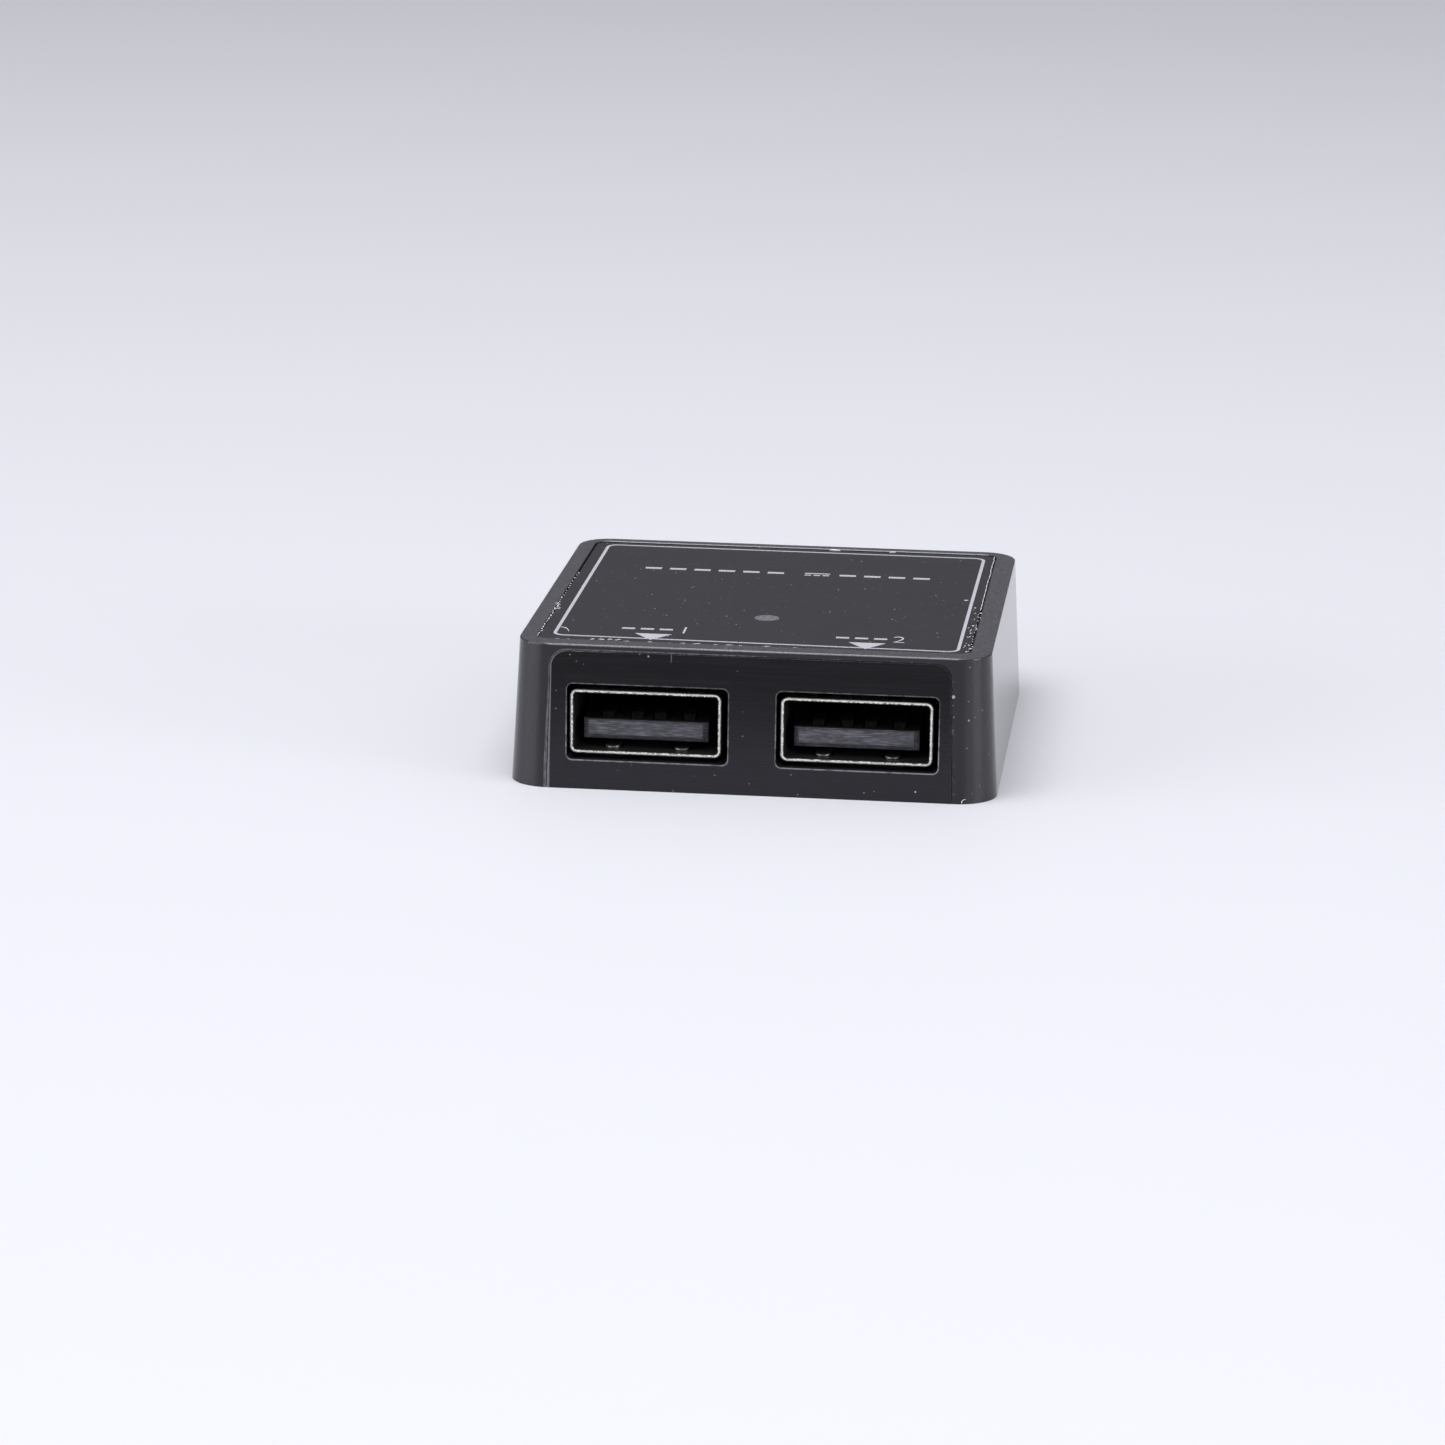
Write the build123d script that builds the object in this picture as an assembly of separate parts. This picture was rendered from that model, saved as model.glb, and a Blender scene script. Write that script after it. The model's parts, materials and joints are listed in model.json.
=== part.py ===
from build123d import *
import os

# Two-port USB-A power box for a desk top. Millimetres, +Z up, the ports face -Y.
# The origin is the middle of the footprint, on the surface that the box stands on.
# A pair is (low, high) for a range along an axis, and (X, Y) or (wide, high) for a place or a size.

# Case, outside: a square block that narrows upwards by its mould draft
WIDTH = 42.2
DEPTH = 42.5
HEIGHT = 12.75
SIDE_DRAFT = 0.72          # how far the sides and the back lean in over the height
FRONT_DRAFT = 0.36         # how far the front leans in
CORNER_R = 3.5             # upright corners at the foot
CORNER_R_TOP = 2.9
TOP_EDGE_R = 0.18
EDGE_BREAK = 0.07          # chamfer on the small edges of the label, its recess and the chips

# Case, inside
CAVITY_HALF = 19.2         # half-width of the cavity
CAVITY_BACK = 19.4
CAVITY_R = 1.0
FRONT_WALL = 1.15          # thickness of the front corner posts
CEILING = 10.9             # underside of the top wall
REBATE_HALF = 19.9         # wider foot of the cavity, which takes the base plate
REBATE_R = 1.5
GAP = 0.05                 # seam round the front panel
FRONT_PAD_X = (-12.0, 0.0, 12.0)
FRONT_PAD_HALF = 1.2
FRONT_PAD_Y = (-18.0, -16.6)

# Label recess in the top, and the printed overlay stuck in it
RECESS_DEPTH = 0.45
RECESS_SIZE = (37.5, 38.5)
RECESS_CENTRE = (-0.15, 0.1)
RECESS_R = 1.2
LABEL_SIZE = (37.25, 38.26)
LABEL_CENTRE = (-0.175, 0.1)
LABEL_R = 1.0
LABEL_THICK = 0.35

# Front panel
PANEL_X = -0.1             # middle of the panel
PANEL_HALF_FOOT = 17.5
PANEL_HALF_TOP = 17.2
PANEL_TOP = 12.15
PANEL_CORNER_R = 1.4
PANEL_THICK = 1.2
FLANGE_HALF = 18.45        # the flange behind the corner posts
FLANGE_THICK = 1.0
FLANGE_PLAY = 0.1
APERTURE = (13.92, 6.66)
APERTURE_X = (-8.92, 9.17)
APERTURE_R = 0.5
APERTURE_Z = 5.92
APERTURE_LEAD = (0.06, 0.1)    # softened edge of the opening, outwards and into the panel

# USB-A receptacles, hung upside down under the board
PORT_PITCH = 18.2
PORT_Z = 5.9
SHELL = (13.1, 5.67)
SHEET = 0.3
SHELL_R = 0.62
SHELL_SETBACK = 0.5        # shell mouth behind the foot of the front face
SHELL_LENGTH = 14.0
LEG_X = 6.4
LEG_Y = (6.0, 11.5)        # solder legs behind the mouth
LEG_HALF = 0.6
LATCH_X = (-3.0, 3.0)
LATCH_HALF = 0.65
LATCH_SLIT = 0.22          # clear sheet cut away round a spring latch
LATCH_CENTRE = 1.6         # centre of the latch's rounded end, behind the mouth
LATCH_CREST = 2.8          # where the latch stands furthest inwards
LATCH_LIFT = (0.12, 0.32)  # how far it stands in, near its end and at the crest
LATCH_LENGTH = 5.4
TONGUE = (10.8, 1.78)
TONGUE_SHIFT = -0.1        # the tongue sits a little to one side in its shell
TONGUE_SETBACK = 1.0       # tongue tip behind the shell mouth
TONGUE_FLOOR = 0.72        # tongue above the inside of the shell
TONGUE_CHAMFER = (0.15, 0.45)  # nose of the tongue, along its top edge and its other edges
INSULATOR_REAR = 4.6       # length of the block that fills the back of the shell
GROOVE_HALF = 0.62
GROOVE_DEPTH = 0.45
WINDOW = (1.1, 2.2)        # height above the tongue and depth of a contact's window
CONTACT_X = (-3.5, -1.0, 1.0, 3.5)
CONTACT_HALF = 0.5
CONTACT_THICK = 0.2
CONTACT_HUMP = 0.62        # how far the sprung beam stands out of its groove
CONTACT_RUN = (0.7, 1.3, 1.9, 2.8, 6.7)  # beam's end, foot, crest, crest and heel from the tongue tip
CONTACT_BEND_R = 0.25
TAIL_HALF = 0.3            # narrow pin of the contact inside the board
TAIL_Y = 0.7               # tails behind the shell

# Board and its screws
BOARD_THICK = 1.2
BOARD_CLEAR = 0.04         # shell to board
BOARD_HALF = 18.7
BOARD_FRONT = -18.5
BOARD_SHOULDER = -14.2     # the board is narrower in front of this
BOARD_BACK = 14.6
BOARD_R = 0.8
NECK_HALF = 15.3
BOARD_SCREWS = ((-16.2, -2.4), (16.2, -2.4), (0.0, 12.6))
BOARD_POST_R = 2.0
BOARD_PILOT_R = 0.73
PILOT_ROOF = 0.45
BOARD_HEAD_R = (1.1, 1.4)
BOARD_HEAD = 0.8
BOARD_SHANK_R = 0.7
BOARD_SHANK = 1.55
SOLDER = 0.35              # how far legs and tails stand out of the board

# What the board carries
LED_XY = (0.0, -8.4)
LED_HALF = (0.55, 0.8)     # lens and foot
LED_HEIGHT = (0.16, 0.36)  # foot and lens
PIPE_R = 1.1
PIPE_COLLAR = 0.6
PIPE_PLAY = 0.015          # pin to the label's hole
CONTROLLER_XY = (-9.0, 1.2)
CONTROLLER_HALF = (2.45, 1.95)
CONTROLLER_HEIGHT = (0.15, 1.6)
CONTROLLER_MARK = (1.7, 1.2)   # round mark by the first lead, from the middle of the chip
CONTROLLER_MARK_R = 0.35
LEAD_PITCH = 1.27
LEAD_THICK = 0.2
LEAD_REACH = (1.8, 2.4, 3.0)   # root in the body, knee and toe of a gull-wing lead
LEAD_KNEE = 0.85           # knee to board
CAN_X = 10.75
CAN_Y = (2.0, 10.0)
CAN_R = 3.0
CAN_LEGS = ((9.5, 0.2), (12.0, 0.2))
CAN_LEG = 0.5
CAN_EDGE_R = 0.4
CAN_GROOVE = (1.4, 0.2, 0.25)  # from the can's end, half-width and depth
CERAMIC = (2.0, 1.25, 0.9)
RESISTOR = (0.8, 1.6, 0.45)
FUSE = (4.5, 3.2, 0.8)
CERAMIC_UPRIGHT = ((-14.6, 1.2), (-4.4, 1.2), (-4.4, 12.4))
CERAMIC_FLAT = (-9.0, 6.2)
RESISTORS = ((-14.4, 9.0), (-12.5, 9.0), (-10.6, 9.0), (-8.7, 9.0), (1.0, -7.4), (1.0, -10.6))
FUSE_XY = (-11.0, 12.6)
PINS = ((1.25, 2.6), (3.25, 2.6))
PIN_HALF = 0.32
PIN_Z = (-4.4, 1.7)        # ends of the header's pins, from the underside of the board
HEADER_OUTER = (3.0, 2.25)
HEADER_INNER = (2.4, 1.55)
HEADER_DEPTH = 5.2
HEADER_FLOOR = 1.2
HEADER_KEY = (0.4, 2.2)    # half-width and length of a keyway

# Base, its screws, the supply lead's grommet and the mounting pad
BASE_UNDER = 0.5           # underside of the base above the desk, filled by the pad
BASE_THICK = 1.6
BASE_HALF = 19.8
BASE_R = 1.4
RIB_Y = (-17.5, -13.0, -8.5)
RIB_HALF = (5.5, 0.6)
BOSSES = ((-17.6, -16.4), (17.6, -16.4), (-17.6, 16.9), (17.6, 16.9))
BOSS_R = 1.75
BOSS_PILOT_TOP = 9.4
SCREW_R = 0.9
SCREW_LENGTH = 8.0
SCREW_POINT = (1.0, 0.25)  # length and end radius of the point
HEAD_R = 1.85
HEAD_HEIGHT = 0.95
CROSS = (0.17, 0.45)       # half-width and depth of the driver's cross
GROMMET_XY = (0.0, 8.0)
GROMMET_BORE_R = 2.0
GROMMET_NECK_R = 3.4
GROMMET_FLANGE_R = 4.7
GROMMET_FLANGE = 0.9
GROMMET_RIM_R = 0.2
PAD_HALF = (13.0, 17.5)
PAD_R = 2.0
PAD_CLEAR = 1.0            # pad round the grommet

# Small amounts used all over
OVER = 1.0                 # how far a cut runs past what it cuts
ROOT = 0.2                 # how far a rib or a post reaches into its wall
PLAY = 0.05                # clearance of a part in its seat

FRONT = -DEPTH / 2
PANEL_BACK = FRONT + PANEL_THICK
CAVITY_FRONT = FRONT + FRONT_WALL
RECESS_FLOOR = HEIGHT - RECESS_DEPTH
BASE_TOP = BASE_UNDER + BASE_THICK
MOUTH = FRONT + SHELL_SETBACK
SHELL_END = MOUTH + SHELL_LENGTH
SHELL_FOOT = PORT_Z - SHELL[1] / 2
SHELL_INSIDE = (SHELL[0] - 2 * SHEET, SHELL[1] - 2 * SHEET)
LATCH_ROOT = MOUTH + LATCH_LENGTH
BOARD_UNDER = PORT_Z + SHELL[1] / 2 + BOARD_CLEAR
BOARD_TOP = BOARD_UNDER + BOARD_THICK
BOARD_THROUGH = (BOARD_UNDER - OVER, BOARD_TOP + OVER)
TONGUE_TIP = MOUTH + TONGUE_SETBACK
TONGUE_UNDER = SHELL_FOOT + SHEET + TONGUE_FLOOR
TONGUE_TOP = TONGUE_UNDER + TONGUE[1]
REAR = SHELL_END - INSULATOR_REAR
TAIL = SHELL_END + TAIL_Y
PORTS = {"left": -PORT_PITCH / 2, "right": PORT_PITCH / 2}


def about(centre, half):
    """(low, high) on both sides of a centre."""
    return (centre - half, centre + half)


def between(a, b):
    """(low, high) from two ends in either order."""
    return (min(a, b), max(a, b))


def block(x, y, z):
    """Box from three (low, high) pairs."""
    size = (x[1] - x[0], y[1] - y[0], z[1] - z[0])
    middle = ((x[0] + x[1]) / 2, (y[0] + y[1]) / 2, (z[0] + z[1]) / 2)
    return Pos(*middle) * Box(*size)


def post(x, y, z, radius):
    """Upright cylinder between two heights."""
    return Pos(x, y, (z[0] + z[1]) / 2) * Cylinder(radius, z[1] - z[0])


def cone(x, y, z, radii):
    """Upright cone with its lower and upper radius."""
    return Pos(x, y, (z[0] + z[1]) / 2) * Cone(radii[0], radii[1], z[1] - z[0])


def slab(x, y, z, radius):
    """Flat plate from (low, high) pairs with rounded upright corners."""
    face = RectangleRounded(x[1] - x[0], y[1] - y[0], radius)
    face = Pos((x[0] + x[1]) / 2, (y[0] + y[1]) / 2, z[0]) * face
    return extrude(face, amount=z[1] - z[0], dir=(0, 0, 1))


def along_y(sketch, y):
    """Sketch drawn in X and Z, made solid from y[0] to y[1]."""
    plane = Plane(origin=(0, y[1], 0), x_dir=(1, 0, 0), z_dir=(0, -1, 0))
    return extrude(plane * sketch, amount=y[1] - y[0])


def along_x(sketch, x):
    """Sketch drawn in Y and Z, made solid from x[0] to x[1]."""
    plane = Plane(origin=(x[0], 0, 0), x_dir=(0, 1, 0), z_dir=(1, 0, 0))
    return extrude(plane * sketch, amount=x[1] - x[0])


def group(solids):
    """Several separate solids as one part."""
    return Compound(children=list(solids))


def outer_block():
    """Drafted outside of the box, with its top edge rounded."""
    foot = RectangleRounded(WIDTH, DEPTH, CORNER_R)
    top = RectangleRounded(
        WIDTH - 2 * SIDE_DRAFT, DEPTH - SIDE_DRAFT - FRONT_DRAFT, CORNER_R_TOP
    )
    top = Pos(0, (FRONT_DRAFT - SIDE_DRAFT) / 2, HEIGHT) * top
    body = loft([foot.face(), top.face()], ruled=True)
    return fillet(body.faces().sort_by(Axis.Z)[-1].edges(), TOP_EDGE_R)


def panel_region(grow):
    """Front panel's outline, from below the foot up to its rounded top corners."""
    foot = PANEL_HALF_FOOT + grow
    top = PANEL_HALF_TOP + grow
    outline = Polyline(
        (PANEL_X - foot, -OVER),
        (PANEL_X - top, PANEL_TOP + grow),
        (PANEL_X + top, PANEL_TOP + grow),
        (PANEL_X + foot, -OVER),
        close=True,
    )
    face = make_face(outline)
    return fillet(face.vertices().sort_by(Axis.Y)[-2:], PANEL_CORNER_R)


def aperture(x, grow=0.0):
    """Opening of one port, drawn in X and Z."""
    size = (APERTURE[0] + 2 * grow, APERTURE[1] + 2 * grow)
    return Pos(x, APERTURE_Z) * RectangleRounded(*size, APERTURE_R + grow)


def label_recess():
    """Sunk area of the top that takes the label."""
    x = about(RECESS_CENTRE[0], RECESS_SIZE[0] / 2)
    y = about(RECESS_CENTRE[1], RECESS_SIZE[1] / 2)
    return slab(x, y, (RECESS_FLOOR, HEIGHT + OVER), RECESS_R)


def case_shell():
    """Outer walls of the case, open at the foot and where the front panel goes."""
    cavity_x = about(0, CAVITY_HALF)
    body = outer_block()
    body -= slab(cavity_x, (CAVITY_FRONT, CAVITY_BACK), (-OVER, CEILING), CAVITY_R)
    body -= along_y(panel_region(GAP), (FRONT - OVER, PANEL_BACK + PLAY))
    rebate_y = (CAVITY_FRONT + FLANGE_PLAY, REBATE_HALF)
    body -= slab(about(0, REBATE_HALF), rebate_y, (-OVER, BASE_TOP), REBATE_R)
    body -= label_recess()
    rim = body.faces().sort_by(Axis.Z)[-1]
    return chamfer(rim.inner_wires()[0].edges(), EDGE_BREAK)


def upper_case():
    """Case: walls and label recess, with bosses for the base and board screws."""
    body = case_shell()
    for x, y in BOSSES:
        body += post(x, y, (BASE_TOP, CEILING + ROOT), BOSS_R)
        body -= post(x, y, (BASE_TOP - OVER, BOSS_PILOT_TOP), SCREW_R + PLAY)
    for x, y in BOARD_SCREWS:
        body += post(x, y, (BOARD_TOP, CEILING + ROOT), BOARD_POST_R)
        body -= post(x, y, (BOARD_TOP - OVER, RECESS_FLOOR - PILOT_ROOF), BOARD_PILOT_R)
    for x in FRONT_PAD_X:
        # Pads that bear on the front of the board above the shells.
        pad_x = about(x, FRONT_PAD_HALF)
        body += block(pad_x, FRONT_PAD_Y, (BOARD_TOP, CEILING + ROOT))
    return body - post(*LED_XY, (CEILING - OVER, HEIGHT + OVER), PIPE_R + 2 * PLAY)


def front_panel():
    """Smooth front panel, flush with the case, with a flange behind the corner posts."""
    plate = outer_block() & along_y(panel_region(0), (FRONT - OVER, PANEL_BACK))
    flange_z = (BASE_TOP + FLANGE_PLAY, CEILING - FLANGE_PLAY)
    flange_end = PANEL_BACK + FLANGE_THICK
    body = plate + block(about(0, FLANGE_HALF), (PANEL_BACK, flange_end), flange_z)
    for x in APERTURE_X:
        body -= along_y(aperture(x), (FRONT - OVER, flange_end + OVER))
        wide = Plane.XZ.offset(-FRONT) * aperture(x, APERTURE_LEAD[0]).face()
        narrow = Plane.XZ.offset(-FRONT - APERTURE_LEAD[1]) * aperture(x).face()
        body -= loft([wide, narrow])
    return body


def base_plate():
    """Bottom cover, held by four countersunk screws, with ribs under the receptacles."""
    y = (CAVITY_FRONT + 2 * FLANGE_PLAY, BASE_HALF)
    body = slab(about(0, BASE_HALF), y, (BASE_UNDER, BASE_TOP), BASE_R)
    for x in PORTS.values():
        for y in RIB_Y:
            rib_z = (BASE_TOP - ROOT, SHELL_FOOT - PLAY)
            body += block(about(x, RIB_HALF[0]), about(y, RIB_HALF[1]), rib_z)
    for x, y in BOSSES:
        body -= post(x, y, (BASE_UNDER - OVER, BASE_TOP + OVER), SCREW_R + 3 * PLAY)
        sink = (BASE_UNDER - PLAY, BASE_UNDER + HEAD_HEIGHT + PLAY)
        body -= cone(x, y, sink, (HEAD_R + 2 * PLAY, SCREW_R + 2 * PLAY))
    bore = (BASE_UNDER - OVER, BASE_TOP + OVER)
    body -= post(*GROMMET_XY, bore, GROMMET_NECK_R + PLAY)
    counterbore = (BASE_UNDER - OVER, BASE_UNDER + GROMMET_FLANGE + PLAY)
    return body - post(*GROMMET_XY, counterbore, GROMMET_FLANGE_R + 2 * PLAY)


def cable_grommet():
    """Rubber ring through which the supply lead enters from below."""
    foot = BASE_UNDER + PLAY
    lower = (foot, BASE_UNDER + GROMMET_FLANGE)
    upper = (BASE_TOP + PLAY, BASE_TOP + PLAY + GROMMET_FLANGE)
    body = post(*GROMMET_XY, lower, GROMMET_FLANGE_R)
    body += post(*GROMMET_XY, (lower[1] - ROOT, upper[1]), GROMMET_NECK_R)
    body += post(*GROMMET_XY, upper, GROMMET_FLANGE_R)
    body -= post(*GROMMET_XY, (foot - OVER, upper[1] + OVER), GROMMET_BORE_R)
    circles = body.edges().filter_by(GeomType.CIRCLE)
    rims = circles.filter_by(lambda e: e.radius > GROMMET_NECK_R + PLAY)
    return fillet(rims, GROMMET_RIM_R)


def mounting_pad():
    """Double-sided foam pad that fixes the box to the desk, cut out round the grommet."""
    body = slab(about(0, PAD_HALF[0]), about(0, PAD_HALF[1]), (0, BASE_UNDER), PAD_R)
    return body - post(*GROMMET_XY, (-OVER, BASE_UNDER + OVER), GROMMET_FLANGE_R + PAD_CLEAR)


def top_label():
    """Printed plastic overlay with a hole for the indicator."""
    x = about(LABEL_CENTRE[0], LABEL_SIZE[0] / 2)
    y = about(LABEL_CENTRE[1], LABEL_SIZE[1] / 2)
    body = slab(x, y, (RECESS_FLOOR, RECESS_FLOOR + LABEL_THICK), LABEL_R)
    body = chamfer(body.faces().sort_by(Axis.Z)[-1].edges(), EDGE_BREAK)
    return body - post(*LED_XY, (CEILING, HEIGHT + OVER), PIPE_R + PIPE_PLAY)


def light_pipe():
    """Clear pin that carries the indicator's light up to the label."""
    top = RECESS_FLOOR + LABEL_THICK - PIPE_PLAY
    collar = (CEILING - PLAY - 2 * ROOT, CEILING - PLAY)
    body = post(*LED_XY, collar, PIPE_R + PIPE_COLLAR)
    return body + post(*LED_XY, (collar[1] - ROOT, top), PIPE_R)


def indicator_led():
    """Chip indicator lamp on the board under the light pipe."""
    x, y = LED_XY
    deep = about(y, LED_HALF[0] - 3 * PLAY)
    lens = block(about(x, LED_HALF[0]), deep, (BOARD_TOP + PLAY, BOARD_TOP + LED_HEIGHT[1]))
    return lens + block(about(x, LED_HALF[1]), deep, (BOARD_TOP, BOARD_TOP + LED_HEIGHT[0]))


def leg_places(x):
    """Places of a shell's four solder legs."""
    return [(x + side, MOUTH + y) for side in (-LEG_X, LEG_X) for y in LEG_Y]


def circuit_board():
    """Printed circuit board with the holes for legs, tails, pins and screws."""
    z = (BOARD_UNDER, BOARD_TOP)
    body = slab(about(0, BOARD_HALF), (BOARD_SHOULDER, BOARD_BACK), z, BOARD_R)
    body += slab(about(0, NECK_HALF), (BOARD_FRONT, BOARD_SHOULDER + OVER), z, BOARD_R)
    for x in PORTS.values():
        for leg_x, leg_y in leg_places(x):
            slot_x = about(leg_x, SHEET + PLAY)
            body -= block(slot_x, about(leg_y, LEG_HALF + 5 * PLAY), BOARD_THROUGH)
        for dx in CONTACT_X:
            body -= post(x + dx, TAIL, BOARD_THROUGH, TAIL_HALF * 1.5)
    holes = [(place, 1.5 * PIN_HALF + PLAY) for place in PINS]
    holes += [(place, CAN_LEG - 2 * PLAY) for place in CAN_LEGS]
    holes += [(place, BOARD_SHANK_R + 5 * PLAY) for place in BOARD_SCREWS]
    for place, radius in holes:
        body -= post(*place, BOARD_THROUGH, radius)
    return body


def latch_plan(x, half, z):
    """Upright prism with a rounded end towards the mouth, the plan of a spring latch."""
    centre = MOUTH + LATCH_CENTRE
    return post(x, centre, z, half) + block(about(x, half), (centre, LATCH_ROOT), z)


def spring_latch(x, side):
    """Tongue of the shell's wall, bent inwards, that presses on the plug."""
    wall = PORT_Z + side * (SHELL[1] - SHEET) / 2
    root_end = LATCH_ROOT + SHEET
    spine = Polyline(
        (MOUTH + LATCH_CENTRE - OVER, wall - side * LATCH_LIFT[0]),
        (MOUTH + LATCH_CREST, wall - side * LATCH_LIFT[1]),
        (root_end, wall),
    )
    strip = along_x(trace(spine, SHEET), about(x, OVER))
    z = about(wall, OVER)
    plan = latch_plan(x, LATCH_HALF, z)
    return strip & (plan + block(about(x, LATCH_HALF), (LATCH_ROOT - ROOT, root_end), z))


def usb_shell(x):
    """Folded sheet shell with spring latches top and bottom and four solder legs."""
    outside = RectangleRounded(*SHELL, SHELL_R)
    inside = RectangleRounded(*SHELL_INSIDE, SHELL_R - SHEET)
    body = along_y(Pos(x, PORT_Z) * (outside - inside), (MOUTH, SHELL_END))
    for dx in LATCH_X:
        # One slot through both walls, then a spring tongue in each.
        slot = latch_plan(x + dx, LATCH_HALF + LATCH_SLIT, about(PORT_Z, SHELL[1]))
        body -= slot
        for side in (-1, 1):
            body += spring_latch(x + dx, side)
    for leg_x, leg_y in leg_places(x):
        # The leg is the shell's side wall carried on through the board.
        wall = about(leg_x, SHEET / 2)
        body += block(wall, about(leg_y, LEG_HALF), (PORT_Z, BOARD_TOP + SOLDER))
    return body


def usb_insulator(x):
    """Black moulding: a rear block in the shell and the tongue with four grooves."""
    size = [inside - PLAY for inside in SHELL_INSIDE]
    section = Pos(x, PORT_Z) * RectangleRounded(*size, SHELL_R - SHEET)
    body = along_y(section, (REAR, SHELL_END - 2 * PLAY))
    tongue_x = about(x + TONGUE_SHIFT, TONGUE[0] / 2)
    tongue = block(tongue_x, (TONGUE_TIP, REAR + OVER), (TONGUE_UNDER, TONGUE_TOP))
    nose = tongue.faces().sort_by(Axis.Y)[0].edges().sort_by(Axis.Z)
    tongue = chamfer(nose[:3], TONGUE_CHAMFER[1])
    nose = tongue.faces().sort_by(Axis.Y)[0].edges().sort_by(Axis.Z)
    body += chamfer(nose[-1], TONGUE_CHAMFER[0])
    for dx in CONTACT_X:
        wide = about(x + dx, GROOVE_HALF)
        groove_y = (TONGUE_TIP + OVER / 2, SHELL_END + OVER)
        body -= block(wide, groove_y, (TONGUE_TOP - GROOVE_DEPTH, TONGUE_TOP + PLAY))
        # Window in the rear block where the contact comes through.
        window_z = (TONGUE_TOP - PLAY, TONGUE_TOP + WINDOW[0])
        body -= block(wide, (REAR - OVER, REAR + WINDOW[1]), window_z)
    return body


def contact_strip():
    """Side view of one sprung contact: hump, long beam, then the tail up to the board."""
    seat = TONGUE_TOP - GROOVE_DEPTH + CONTACT_THICK / 2 + PLAY / 2
    crest = seat + CONTACT_HUMP
    end, foot, crest_start, crest_end, heel = [TONGUE_TIP + run for run in CONTACT_RUN]
    spine = FilletPolyline(
        (end, seat),
        (foot, seat),
        (crest_start, crest),
        (crest_end, crest),
        (heel, seat + PLAY),
        (TAIL, seat + PLAY),
        (TAIL, BOARD_TOP + SOLDER),
        radius=CONTACT_BEND_R,
    )
    return trace(spine, CONTACT_THICK)


def usb_contacts(x):
    """Four separate sprung contacts of one receptacle."""
    beams = []
    for dx in CONTACT_X:
        beam = along_x(contact_strip(), about(x + dx, CONTACT_HALF))
        for side in (-1, 1):
            # Inside the board's hole the tail is a narrow pin.
            spare_x = between(x + dx + side * TAIL_HALF, x + dx + side * OVER)
            beam -= block(spare_x, about(TAIL, OVER), BOARD_THROUGH)
        beams.append(beam)
    return group(beams)


def charge_controller():
    """Charging control chip with eight gull-wing leads, under the board."""
    x, y = CONTROLLER_XY
    z = (BOARD_UNDER - CONTROLLER_HEIGHT[1], BOARD_UNDER - CONTROLLER_HEIGHT[0])
    body = block(about(x, CONTROLLER_HALF[0]), about(y, CONTROLLER_HALF[1]), z)
    body = chamfer(body.faces().sort_by(Axis.Z)[0].edges(), LEAD_THICK)
    mark_x, mark_y = (x - CONTROLLER_MARK[0], y - CONTROLLER_MARK[1])
    body -= post(mark_x, mark_y, (z[0] - PLAY, z[0] + 2 * PLAY), CONTROLLER_MARK_R)
    knee = BOARD_UNDER - LEAD_KNEE
    root, shank, toe = LEAD_REACH
    for i in range(4):
        wide = about(x + (i - 1.5) * LEAD_PITCH, LEAD_THICK)
        for side in (-1, 1):
            shoulder_y = between(y + side * root, y + side * shank)
            shank_y = between(y + side * (shank - LEAD_THICK), y + side * shank)
            foot_y = between(y + side * (shank - LEAD_THICK), y + side * toe)
            body += block(wide, shoulder_y, (knee, knee + LEAD_THICK))
            body += block(wide, shank_y, (knee, BOARD_UNDER))
            body += block(wide, foot_y, (BOARD_UNDER - LEAD_THICK, BOARD_UNDER))
    return body


def smoothing_capacitor():
    """Electrolytic can lying on its side under the board, with two bent legs."""
    z = BOARD_UNDER - CAN_R - 2 * PLAY
    axis = Pos(CAN_X, z)
    can = along_y(axis * Circle(CAN_R), CAN_Y)
    can = fillet(can.edges().filter_by(GeomType.CIRCLE), CAN_EDGE_R)
    # Groove rolled in the can near its legs.
    place, half, depth = CAN_GROOVE
    ring = Circle(CAN_R + OVER) - Circle(CAN_R - depth)
    can -= along_y(axis * ring, about(CAN_Y[0] + place, half))
    for x, y in CAN_LEGS:
        bend = [(CAN_Y[0] + ROOT, z), (y, z), (y, BOARD_TOP + SOLDER)]
        spine = FilletPolyline(*bend, radius=CAN_LEG)
        can += along_x(trace(spine, CAN_LEG), about(x, CAN_LEG / 2))
    return can


def chip(place, size):
    """Surface-mount chip under the board, from its length, width and height."""
    z = (BOARD_UNDER - size[2], BOARD_UNDER)
    body = block(about(place[0], size[0] / 2), about(place[1], size[1] / 2), z)
    return chamfer(body.faces().sort_by(Axis.Z)[0].edges(), EDGE_BREAK)


def ceramic_capacitors():
    """Four ceramic chip capacitors round the controller and the supply."""
    long, wide, high = CERAMIC
    upright = [chip(place, (wide, long, high)) for place in CERAMIC_UPRIGHT]
    return group(upright + [chip(CERAMIC_FLAT, CERAMIC)])


def chip_resistors():
    """Six chip resistors: data-line dividers, indicator feed and current sense."""
    return group(chip(place, RESISTOR) for place in RESISTORS)


def resettable_fuse():
    """Resettable fuse in the supply line."""
    return chip(FUSE_XY, FUSE)


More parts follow.
